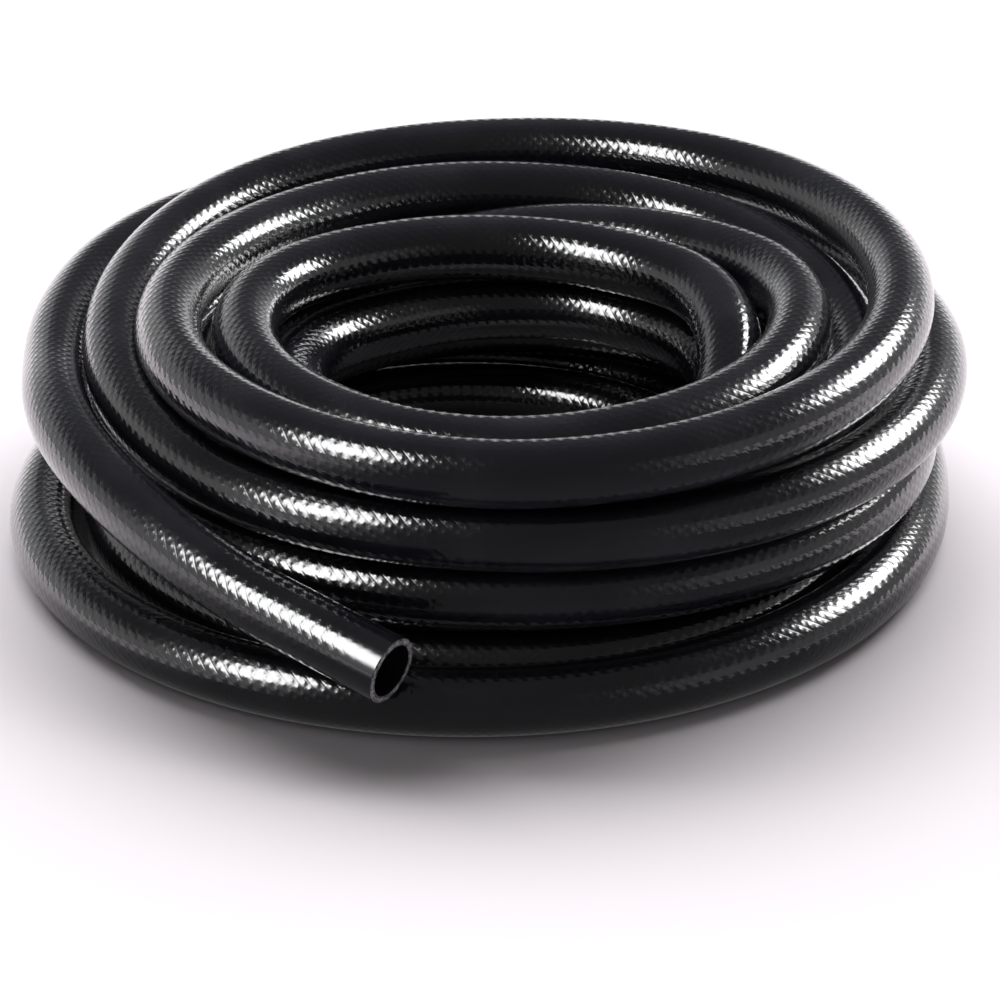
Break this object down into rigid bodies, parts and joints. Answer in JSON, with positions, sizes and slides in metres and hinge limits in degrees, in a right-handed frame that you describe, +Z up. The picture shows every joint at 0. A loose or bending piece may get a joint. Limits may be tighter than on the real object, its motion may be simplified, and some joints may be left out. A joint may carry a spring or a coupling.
{
  "type": "coiled air hose",
  "caption": "Bare length of reinforced rubber air hose in a loose, layered coil, with one square-cut open end in front whose bore takes a hose tail.",
  "frame": {"origin": "middle of the pile's bounding box, on the floor that it lies on", "axes": "+Z up through the eye of the coil; the open end comes off the left side of the pile and points towards -Y, which is the front"},
  "size_m": [0.2334, 0.2451, 0.0677],
  "materials": {
    "hose_jacket": "glossy extruded black jacket with the braid showing as fine relief",
    "hose_braid": "cut polyester yarn",
    "hose_liner": "smooth satin black"
  },
  "bodies": {
    "root": {"hose_coil": "hose_jacket", "free_run": "hose_jacket", "outer_end_cover": "hose_jacket", "outer_end_braid": "hose_braid", "outer_end_liner": "hose_liner", "inner_end_cover": "hose_jacket", "inner_end_braid": "hose_braid", "inner_end_liner": "hose_liner"}
  },
  "joints": []
}
